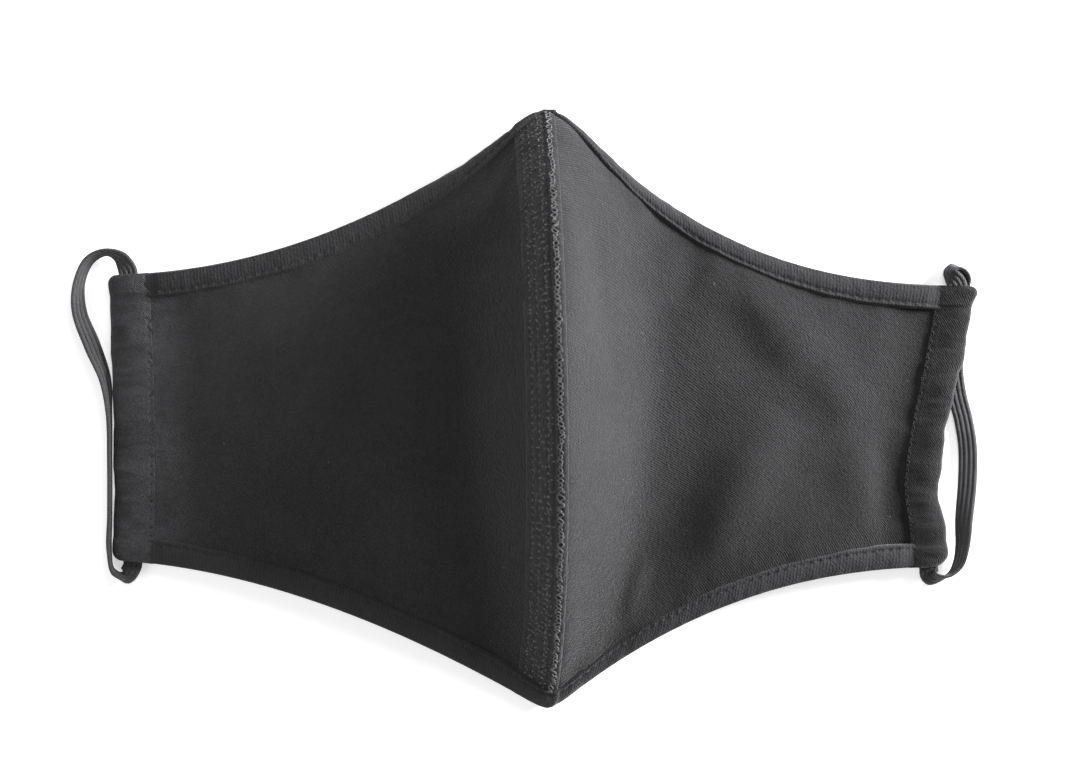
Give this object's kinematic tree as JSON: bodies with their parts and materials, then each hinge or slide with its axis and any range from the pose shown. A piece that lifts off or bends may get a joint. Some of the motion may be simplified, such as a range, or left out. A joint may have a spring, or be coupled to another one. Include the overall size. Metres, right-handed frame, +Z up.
{
  "type": "cloth face mask",
  "caption": "Contoured cloth face mask with a stitched centre seam, bound edges and elastic ear loops, lying open with its outer face up.",
  "frame": {"origin": "on the surface the mask lies on, under the centre of the box around the cloth, ear loops left out", "axes": "+X to the mask's right ear edge as it is seen outer face up with the nose edge away, +Y to the nose edge, +Z up out of the outer face"},
  "size_m": [0.2394, 0.1568, 0.0415],
  "materials": {
    "cloth": "matt fine twill cotton, charcoal",
    "seam": "matt cotton under rows of thread, charcoal",
    "binding": "matt finely ribbed cotton, charcoal",
    "elastic": "matt ribbed braid, charcoal"
  },
  "bodies": {
    "root": {"left_panel": "cloth", "right_panel": "cloth", "centre_seam": "seam", "nose_binding": "binding", "chin_binding": "binding", "left_casing": "cloth", "right_casing": "cloth", "left_ear_loop": "elastic", "right_ear_loop": "elastic"}
  },
  "joints": []
}
